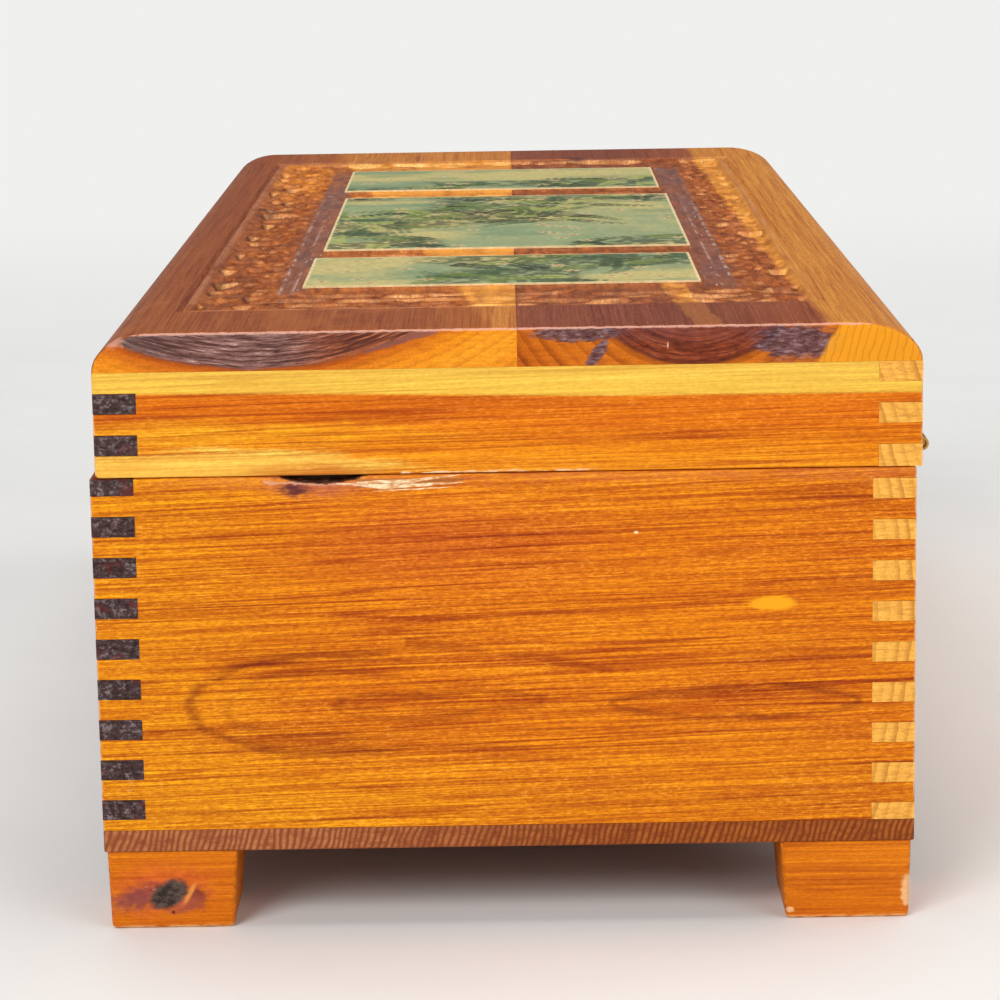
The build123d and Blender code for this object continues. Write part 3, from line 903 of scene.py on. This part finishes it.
def back_carving(wood):
    """The lid's back board: red bowl, purple stains and sapwood on its end, and a pale streak on top."""
    x, y, z, bent = wood.x, wood.y, wood.z, wood.bent
    top = 1 - wood.end_grain
    right_end = wood.end_grain * x.smooth(0, 10)
    ragged = wood.noise((5, 2.4, 0.7), 7.1, 4.0, 0.65).around(0.7)
    marble = wood.noise((6, 3.5, 0.5), 15.5, 4.0, 0.65)
    fibres = wood.noise((6, 1.5, 0.45), 15.5, 4.0, 0.65)

    arcs = wood.noise((1, 7, 0.55), 19.5, 4.0, 0.7, bent)
    bowl = wood.ramp(arcs, [
        (0.3, 76, 28, 18), (0.44, 132, 56, 28), (0.6, 160, 78, 44), (0.72, 196, 122, 92)])
    bowl = wood.blend(wood.distance.smooth(18.0, 18.7) * 0.6, bowl, tone(92, 34, 16))
    cracks = wood.noise((1, 22, 1.1), 8.2, place=bent).contours(0.06)
    bowl = wood.blend(cracks * 0.7, bowl, tone(70, 24, 14))
    bowl = wood.tinted(bowl, fibres, (0.62, 0.56, 0.56), (1.22, 1.3, 1.35), 0.16)
    above = (z + marble.around(2.4)).smooth(89.6, 92.4)
    bowl = wood.blend(above * fibres.smooth(0.3, 0.6) * 0.6, bowl, tone(112, 66, 66))
    wood.lay(right_end * wood.distance.smooth(19.3, 18.8) * 0.9, bowl)
    purple = wood.ramp(fibres, [(0.32, 44, 28, 36), (0.5, 88, 62, 68), (0.68, 146, 120, 126)])
    for ellipse, turn in (
            ((42.5, 90.4, 7.6, 3.2), 0.0), ((9.6, 92.5, 7.6, 1.9), 0.0), ((12.6, 89.3, 1.1, 3.4), -0.6)):
        stain = wood.end_spot(*ellipse, 0.6, ragged * 0.8, turn, depth=30)
        wood.lay(right_end * stain * 0.9, purple)
    waver = wood.noise((9, 3, 3), 3.9).around(0.35)
    phase = ((wood.zone + waver + z * 0.3) / 1.15).fraction()
    growth_line = phase.smooth(0.6, 0.88) * phase.smooth(1.0, 0.9)
    sapwood = wood.between(growth_line * 0.42, (244, 162, 30), (190, 108, 22))
    wood.lay(right_end * wood.zone.smooth(1.2, 2.0) * 0.8, sapwood)

    leaning = y - x * 0.06 - 20.6 + marble.around(1.2)
    streak = leaning.smooth(-2.6, -1.8) * leaning.smooth(2.2, 1.6) * x.smooth(92, 100)
    wood.lay(top * streak * z.smooth(88, 90) * 0.38, (198, 122, 54))
    knot = wood.spot((-119.9, 14.9, 93), (8, 3.5, 4), 0.3, marble.around(0.5))
    wood.lay(top * knot * 0.85, (60, 28, 34))
    wood.lay(right_end * wood.end_spot(23.1, 90.3, 0.16, 0.6, 0.2, ragged, depth=2), (236, 184, 150))
    sap = wood.math("MAXIMUM", wood.zone.smooth(-0.5, 0.6), streak * marble.smooth(0.36, 0.6))
    carving(wood, sap)


def front_zone(wood):
    """How far a point of the front board lies towards the joint from its sapwood boundary."""
    waver = wood.noise((60, 8, 8), 9.9).around(1.0)
    return wood.y + (half_length - wood.x) * front_sap_slope + waver - front_sap_y


def back_zone(wood):
    """How far a point of the back board lies behind its sapwood boundary, which leans outwards."""
    waver = wood.noise((22, 8, 8), 4.9, 3.0, 0.6).around(1.3)
    return wood.y - (wood.z - 93.3) * 0.55 - wood.x * 0.02 + waver + (1.5 - back_sap_y)


def foot_knot(wood):
    """A dark leaning knot with red and purple stains, a painted highlight and a pale crack beside it, and
    worn lower corners.
    """
    ragged = wood.noise((2, 1.4, 0.9), 6.6, 3.0, 0.6).around(0.5)
    mottle = wood.noise((1.6, 1.4, 0.8), 2.4, 4.0, 0.65)
    near = wood.x.smooth(120, 130)

    def beside(y, z, wide, high, inner, wobble=0.0, turn=0.0):
        """A spot this far from the middle of the knot."""
        return wood.end_spot(knot_y + y, knot_z + z, wide, high, inner, wobble, turn, depth=30) * near

    for ellipse, turn, paint, share in (
            ((-1.0, 0.6, 11.5, 6.0), 0.15, (212, 92, 38), 0.75),
            ((-4.6, -0.5, 6.4, 2.9), 0.25, (140, 68, 62), 0.95),
            ((4.3, -0.6, 2.6, 2.4), 0.9, (124, 48, 40), 0.9),
            ((2.8, -1.7, 4.6, 1.7), 0.4, (170, 84, 58), 0.85)):
        stain = wood.tinted(tone(*paint), mottle, (0.74, 0.68, 0.68), (1.2, 1.3, 1.3))
        wood.lay(beside(*ellipse, 0.2, ragged, turn) * share, stain)
    # painted highlight: a pale glint beside the knot
    wood.lay(beside(-2.6, 1.1, 1.7, 0.5, 0.3) * ragged.smooth(0.0, 0.1) * 0.8, (226, 178, 168))
    wood.lay(beside(3.2, 0.1, 0.6, 2.7, 0.3, ragged * 0.6, -0.5) * 0.8, (236, 150, 70))
    core = wood.between(mottle.smooth(0.3, 0.7), (46, 36, 34), (96, 80, 72))
    wood.lay(beside(0, 0, 3.9, 2.4, 0.65, ragged * 0.4, 0.55), core)
    wood.lay(beside(0.6, -2.9, 0.4, 0.4, 0.4), (120, 34, 8))
    foot_wear(wood)


def foot_wear(wood):
    """Pale rubbed wood along a foot's lower arrises."""
    patchy = wood.noise((3, 3, 0.6), 9.6, 3.0, 0.6).smooth(0.4, 0.55)
    wood.lay(wood.z.smooth(0.75, 0.25) * patchy * 0.75, (248, 196, 128))


def foot_chip(wood):
    """A rough pale chip at the outer corner of a foot's end."""
    ragged = wood.noise((2, 1.2, 0.9), 6.6, 3.0, 0.6).around(0.42)
    grain = wood.noise((0.6, 0.7, 0.3), 4.6, 3.0, 0.7)
    splintered = wood.between(grain, (206, 126, 60), (255, 212, 156))
    for ellipse in ((59.9, 4.4, 1.6, 3.2), (41.4, 1.5, 0.8, 0.6)):
        wood.lay(wood.end_spot(*ellipse, 0.7, ragged, depth=3), splintered)
    foot_wear(wood)


def bottom_end_lines(wood):
    """The bottom board's end: leaning growth lines, pinkish at the front and warmer at the back."""
    waver = wood.noise((20, 9, 9), 8.8, 3.0).around(1.5)
    phase = ((wood.y * 0.96 - wood.z * 0.28 + waver) / 0.94).fraction()
    light = phase.smooth(0.0, 0.3) * phase.smooth(0.85, 0.55)
    uneven = wood.noise((3, 2.2, 0.9), 5.8, 4.0, 0.7).smooth(0.25, 0.65)
    front = wood.y.smooth(25, -40)
    dark = wood.between(front, (116, 50, 14), (134, 68, 40))
    pale = wood.between(front, (178, 100, 34), (194, 126, 78))
    lined = wood.blend(light * uneven * wood.end_grain * 0.9, dark, pale)
    wood.lay(wood.end_grain * 0.85, lined)


def wood_materials():
    """The material of each wooden node, by node name."""
    woods = {}
    base_zones = [(54, 240, 134, 6), (60, 236, 126, 6), (66, 242, 140, 8)]
    woods["base_right_end_board"] = cedar(
        "cedar_base_right_end", "Y", (201, 0, 37), 1.6, 1.0, 2.0, base_zones,
        bulges=[((146, -28, 37), (30, 26, 9), 3.4), ((146, 33, 35), (30, 22, 5), 2.2)], ring_share=0.2,
        grit=1.15, lean=0.03, under=base_end_tones, extra=base_end_marks)
    woods["base_left_end_board"] = cedar(
        "cedar_base_left_end", "Y", (-196, 0, 52), 1.7, 21.0, 2.0, base_zones,
        bulges=[((-146, 12, 50), (30, 30, 9), 3.2)], ring_share=0.32, lean=-0.02)
    band_zones = [
        (71.0, 242, 146, 22), (75.5, 238, 134, 6), (79.0, 230, 118, 4), (83.0, 230, 118, 8),
        (83.5, 242, 186, 62), (88.5, 244, 196, 80),
    ]
    for node, pith_x, seed in (("lid_right_end_board", 196, 2.0), ("lid_left_end_board", -196, 22.0)):
        woods[node] = cedar(
            f"cedar_{node}", "Y", (pith_x, 0, 68), 1.5, seed, 1.0, band_zones, zone_axis=lid_end_bands,
            lean=0.02, figure=0.8, under=lid_end_tones, extra=lid_end_marks)
    heart_zones = [(20, 150, 68, 34), (40, 122, 54, 34), (70, 146, 66, 34)]
    black_zones = [(0, 60, 44, 44), (60, 74, 54, 52)]
    for node, seed in (("base_front_board", 3.0), ("lid_front_board", 4.0)):
        woods[node] = cedar(
            f"cedar_{node}", "X", (0, -20, 30), 1.6, seed, 2.0, heart_zones, black_zones, end_figure=1.5,
            extra=dark_fingers)
    back_zones = [(98, 238, 164, 66), (102, 232, 152, 54), (106, 240, 170, 74)]
    pale_zones = [(20, 244, 172, 66), (120, 246, 178, 76)]
    swells = [((-70, 60, 42), (95, 60, 15), 4.2), ((60, 60, 54), (110, 60, 11), 3.2)]
    for node, seed, low, high in (
            ("base_back_board", 5.0, base_low, base_high), ("lid_back_board", 6.0, lid_low, lid_high)):
        woods[node] = cedar(
            f"cedar_{node}", "X", (0, -40, 50), 1.7, seed, 1.0, back_zones, pale_zones, bulges=swells,
            ring_share=0.5, figure=0.8, end_figure=0.6, end_rings=0.7, flecks=0.1, grit=0.5,
            extra=pale_fingers(low, high))
    brown_zones = [(360, 166, 88, 34), (470, 156, 78, 24)]
    woods["bottom_board"] = cedar(
        "cedar_bottom", "X", (0, -410, 160), 1.07, 7.0, 0.35, brown_zones, ring_share=0.8, end_figure=0.8,
        extra=bottom_end_lines)
    foot_zones = [(0, 238, 138, 12), (30, 220, 114, 6), (60, 232, 130, 8)]
    knot_swell = [((146, knot_y, knot_z), (30, 9, 5), 4.0)]
    for node, seed, bulges, marks in (
            ("foot_front_right", 8.0, knot_swell, foot_knot), ("foot_back_right", 9.0, (), foot_chip),
            ("foot_front_left", 10.0, (), None), ("foot_back_left", 11.0, (), None)):
        woods[node] = cedar(
            f"cedar_{node}", "Y", (120, 0, -30), 1.8, seed, 1.8, foot_zones, bulges=bulges, figure=0.55,
            flecks=0.1, extra=marks)
    front_long = [
        (-60, 166, 88, 38), (-30, 158, 80, 36), (-12, 164, 84, 38), (-4, 178, 96, 36),
        (-0.6, 184, 100, 34), (0.8, 206, 124, 46), (20, 214, 132, 50),
    ]
    front_end = [
        (50, 120, 76, 72), (58.6, 104, 48, 30), (59.6, 196, 94, 16), (62.5, 238, 142, 22),
        (66, 250, 160, 34), (70, 236, 142, 26),
    ]
    woods["lid_top_front_board"] = cedar(
        "cedar_carved_front", "X", (0, -38.5, 146.7), 1.3, 12.0, 0.7, front_long, front_end, front_zone,
        ring_share=0.25, figure=0.7, end_figure=0.7, end_rings=0.42, extra=front_carving, rough=0.36,
        coat=0.04)
    back_long = [
        (-50, 150, 74, 44), (-20, 138, 66, 42), (-0.8, 160, 80, 38), (0.6, 216, 134, 44), (15, 222, 140, 44),
    ]
    back_end = [
        (12, 128, 56, 32), (18.6, 112, 46, 26), (19.6, 204, 108, 18), (26, 206, 108, 16), (34, 186, 88, 10),
    ]
    woods["lid_top_back_board"] = cedar(
        "cedar_carved_back", "X", (0, 27.2, 106.5), 2.0, 13.0, 0.7, back_long, back_end, back_zone,
        ring_share=0.25, figure=0.7, end_figure=0.7, extra=back_carving, rough=0.36, coat=0.04)
    return woods


def brass(name, seed):
    """Dull brass with soft brown tarnish and fine scratches."""
    shader = Shader(name)
    patches = shader.noise((6, 6, 6), seed, 3.0)
    spots = shader.noise((2.2, 2.2, 2.2), seed + 4, 3.0, 0.6)
    scratches = shader.noise((6, 0.15, 0.15), seed + 2, 2.0, 0.6)
    shader.colour = shader.ramp(patches, [(0.35, 168, 130, 70), (0.65, 206, 170, 102)])
    shader.lay(spots.smooth(0.56, 0.74) * 0.7, (112, 76, 42))
    shader.rough = patches * 0.2 + scratches * 0.08 + 0.26
    return shader.finish(shader.surface(scratches, 0.005, metallic=1.0, specular=0.5))


def mixed(mask, under, over):
    """Two colours, or arrays of them, mixed by an array of shares."""
    return under * (1 - mask[..., None]) + np.array(over)[..., :3] * mask[..., None]


def picture_colours(x, y, seed):
    """Leaf sprays and round blossoms on a mottled ground, as linear colours for arrays of points."""
    random = np.random.default_rng(seed)
    ground = np.ones(x.shape + (3,)) * tone(160, 172, 128)[:3]
    ground = mixed(0.8 * step(clouds(x, 0.6 * y, 16, seed), 0.42, 0.66), ground, tone(218, 198, 128))
    ground = mixed(0.5 * step(clouds(0.8 * x, 0.5 * y, 7, seed + 50), 0.5, 0.7), ground, tone(116, 148, 114))
    grain = clouds(x, y, 1.5, seed + 9)
    grove = clouds(x, 0.7 * y, 22, seed + 7, 2)
    shade = step(grove, 0.46, 0.6)
    colour = mixed(0.75 * shade * step(grain, 0.25, 0.6), ground, tone(58, 70, 42))
    low_x, high_x, low_y, high_y = x.min(), x.max(), y.min(), y.max()
    paints = [tone(34, 44, 30), tone(56, 74, 38), tone(66, 92, 56), tone(118, 136, 58), tone(176, 184, 100)]
    sprays = int((high_x - low_x) * (high_y - low_y) / 40)

    def anywhere():
        return low_x + (high_x - low_x) * random.random(), low_y + (high_y - low_y) * random.random()

    for _ in range(sprays):
        root_x, root_y = anywhere()
        nearest = np.unravel_index(np.argmin(np.hypot(x - root_x, y - root_y)), x.shape)
        if shade[nearest] < 0.3 + 0.5 * random.random():
            continue
        heading, bend = 2 * math.pi * random.random(), 0.08 * (random.random() - 0.5)
        paint = paints[random.integers(len(paints))]
        for number in range(8):
            reach = 1.7 * number
            angle = heading + bend * reach
            leaf_x, leaf_y = root_x + reach * math.cos(angle), root_y + reach * math.sin(angle)
            size = 3.2 * (1 - 0.08 * number)
            for side in (-1, 1):
                u, v = turned(x - leaf_x, y - leaf_y, angle + side * 0.9)
                u, v = u / size, v / (0.34 * size)
                width = np.clip(4 * u * (1 - u), 0, None)
                colour = mixed(0.8 * step(width - np.abs(v), 0.0, 0.3) * (u > 0) * (u < 1), colour, paint)
    for _ in range(sprays // 3):
        centre_x, centre_y = anywhere()
        dx, dy = x - centre_x, y - centre_y
        radius, angle = np.hypot(dx, dy), np.arctan2(dy, dx)
        petals = 1.9 * (0.72 + 0.28 * np.cos(5 * angle + 6 * random.random()))
        colour = mixed(0.85 * step(petals - radius, 0.0, 0.4), colour, tone(222, 200, 150))
        colour = mixed(0.9 * step(0.6 - radius, 0.0, 0.2), colour, tone(170, 104, 56))
    return colour


def picture_panel(name, seed):
    """A thin printed sheet with a cream rim."""
    low, high = panels[name]
    rim_z = high[2] - 0.06
    x_lines = lines((low[0], high[0], 0.4))
    y_lines = lines((low[1], high[1], 0.2))
    profile_y = np.concatenate([[low[1], low[1]], y_lines[1:-1], [high[1], high[1]]])
    profile_z = np.concatenate([[low[2], rim_z], np.full(len(y_lines) - 2, high[2]), [rim_z, low[2]]])
    x, y = np.meshgrid(x_lines, profile_y[::-1], indexing="ij")
    z = np.broadcast_to(profile_z[::-1], x.shape)
    edge = step(within(x, y, low, high), 0.6, 0.3)
    colour = mixed(edge, picture_colours(x, y, seed), tone(248, 224, 172))
    paint = np.concatenate([colour, np.ones_like(colour[..., :1])], axis=-1)

    shader = Shader(f"print_{name}")
    mottle = shader.noise((1.4, 1.1, 1.1), seed, 4.0, 0.7)
    shader.colour = shader.add("ShaderNodeAttribute", {}, attribute_name="paint").outputs["Color"]
    shader.tint(mottle, (0.74, 0.74, 0.66), (1.14, 1.12, 1.1))
    shader.rough = mottle * 0.15 + 0.3
    material = shader.finish(shader.surface(mottle, 0.01, 0.02, 0.2))
    node = f"picture_panel_{name}"
    return loft(f"{node}_finish", np.stack([x, y, z], axis=-1), material, node, paint=paint)


def build_pieces():
    woods = wood_materials()
    for wall in walls:
        softened(f"base_{wall}_board", woods[f"base_{wall}_board"], (base_low, base_high), (("z", "low"),))
        softened(f"lid_{wall}_board", woods[f"lid_{wall}_board"], (lid_low, lid_high), (("z", "high"),))
    bark_pocket(bpy.data.objects["base_right_end_board_finish"])
    glued_top = (("z", "high"),)
    softened("bottom_board", woods["bottom_board"], skipped=glued_top)
    for node in ("foot_front_left", "foot_front_right", "foot_back_left", "foot_back_right"):
        softened(node, woods[node], skipped=glued_top, arris=foot_round, slack=1.0)
    for node, side in (("lid_top_front_board", -1), ("lid_top_back_board", 1)):
        lid_board(node, woods[node], side)
    for seed, name in enumerate(panels, 40):
        picture_panel(name, seed)
    hinge_metal, nail_metal = brass("hinge_brass_finish", 3.0), brass("nail_brass_finish", 5.0)
    for node in frame["nodes"]:
        if node.startswith("hinge_"):
            softened(node, hinge_metal, arris=hinge_arris, joint=metal_joint_line)
        elif node.endswith("_nails"):
            softened(node, nail_metal, arris=nail_arris, joint=metal_joint_line)


def area_lamp(name, place, target, size, power):
    lamp = bpy.data.lights.new(name, "AREA")
    lamp.size = size
    lamp.energy = power
    lamp_object = bpy.data.objects.new(name, lamp)
    lamp_object.location = place
    lamp_object.rotation_euler = (Vector(target) - Vector(place)).to_track_quat("-Z", "Y").to_euler()
    bpy.context.scene.collection.objects.link(lamp_object)


def floor_material():
    """Pale matt floor that turns into an even pale backdrop far from the box, for the rays that show it."""
    shader = Shader("pale_floor")
    grain = shader.noise((60, 60, 60), 1.0, 3.0, 0.6)
    shader.colour = shader.ramp(grain, [(0.3, 234, 234, 232), (0.7, 238, 238, 236)])
    shader.rough = 0.8
    lit = shader.surface(specular=0.2)
    rays = shader.add("ShaderNodeLightPath", {}).outputs
    seen = Value(shader, rays["Is Camera Ray"]) + rays["Is Glossy Ray"] + rays["Is Transmission Ray"]
    away = shader.length(shader.vector("MULTIPLY", shader.place, (1, 1, 0))).smooth(700, 2200)
    far = shader.math("MAXIMUM", shader.x.smooth(-200, -900), away)
    pale = shader.add("ShaderNodeEmission", {"Color": tone(240, 240, 238), "Strength": 1.0}).outputs[0]
    share = shader.math("MINIMUM", seen, 1.0) * far
    return shader.finish(shader.add("ShaderNodeMixShader", {0: share, 1: lit, 2: pale}).outputs[0])


def build_stage():
    """Pale floor, soft lamps and a dim even surround. Lengths here are in metres."""
    floor_mesh = bpy.data.meshes.new("floor")
    reach = 12.0
    corners = [(-reach, -reach, 0), (reach, -reach, 0), (reach, reach, 0), (-reach, reach, 0)]
    floor_mesh.from_pydata(corners, [], [(0, 1, 2, 3)])
    floor_mesh.materials.append(floor_material())
    floor = bpy.data.objects.new("floor", floor_mesh)
    bpy.context.scene.collection.objects.link(floor)

    area_lamp("key_lamp", (1.6, -0.9, 1.2), (0.1, 0, 0.05), 1.0, 25)
    area_lamp("fill_lamp", (1.4, 1.2, 0.8), (0.1, 0, 0.05), 1.2, 11)
    area_lamp("overhead_lamp", (-0.2, 0.0, 1.6), (0, 0, 0), 1.4, 14)
    area_lamp("back_lamp", (-0.4, 1.8, 0.9), (0, 0, 0.05), 1.4, 9)
    world = bpy.data.worlds.new("surround")
    world.use_nodes = True
    backdrop = world.node_tree.nodes["Background"]
    backdrop.inputs["Color"].default_value = (1.0, 1.0, 1.0, 1)
    backdrop.inputs["Strength"].default_value = 0.2
    bpy.context.scene.world = world
    bpy.context.scene.view_settings.view_transform = "Standard"


def build_camera():
    forward = Vector((
        -math.cos(camera_pitch) * math.cos(camera_yaw), math.cos(camera_pitch) * math.sin(camera_yaw),
        -math.sin(camera_pitch)))
    side = Vector((math.sin(camera_yaw), math.cos(camera_yaw), 0))
    up = side.cross(forward)
    right = math.cos(camera_roll) * side + math.sin(camera_roll) * up
    top = math.cos(camera_roll) * up - math.sin(camera_roll) * side
    camera = bpy.data.objects.new("camera", bpy.data.cameras.new("camera"))
    camera.data.lens = camera_lens
    camera.matrix_world = Matrix.Translation(Vector(camera_place) * MM) @ Matrix(
        (right, top, -forward)).transposed().to_4x4()
    bpy.context.scene.collection.objects.link(camera)
    bpy.context.scene.camera = camera


build_pieces()
build_stage()
build_camera()

bpy.context.view_layer.update()
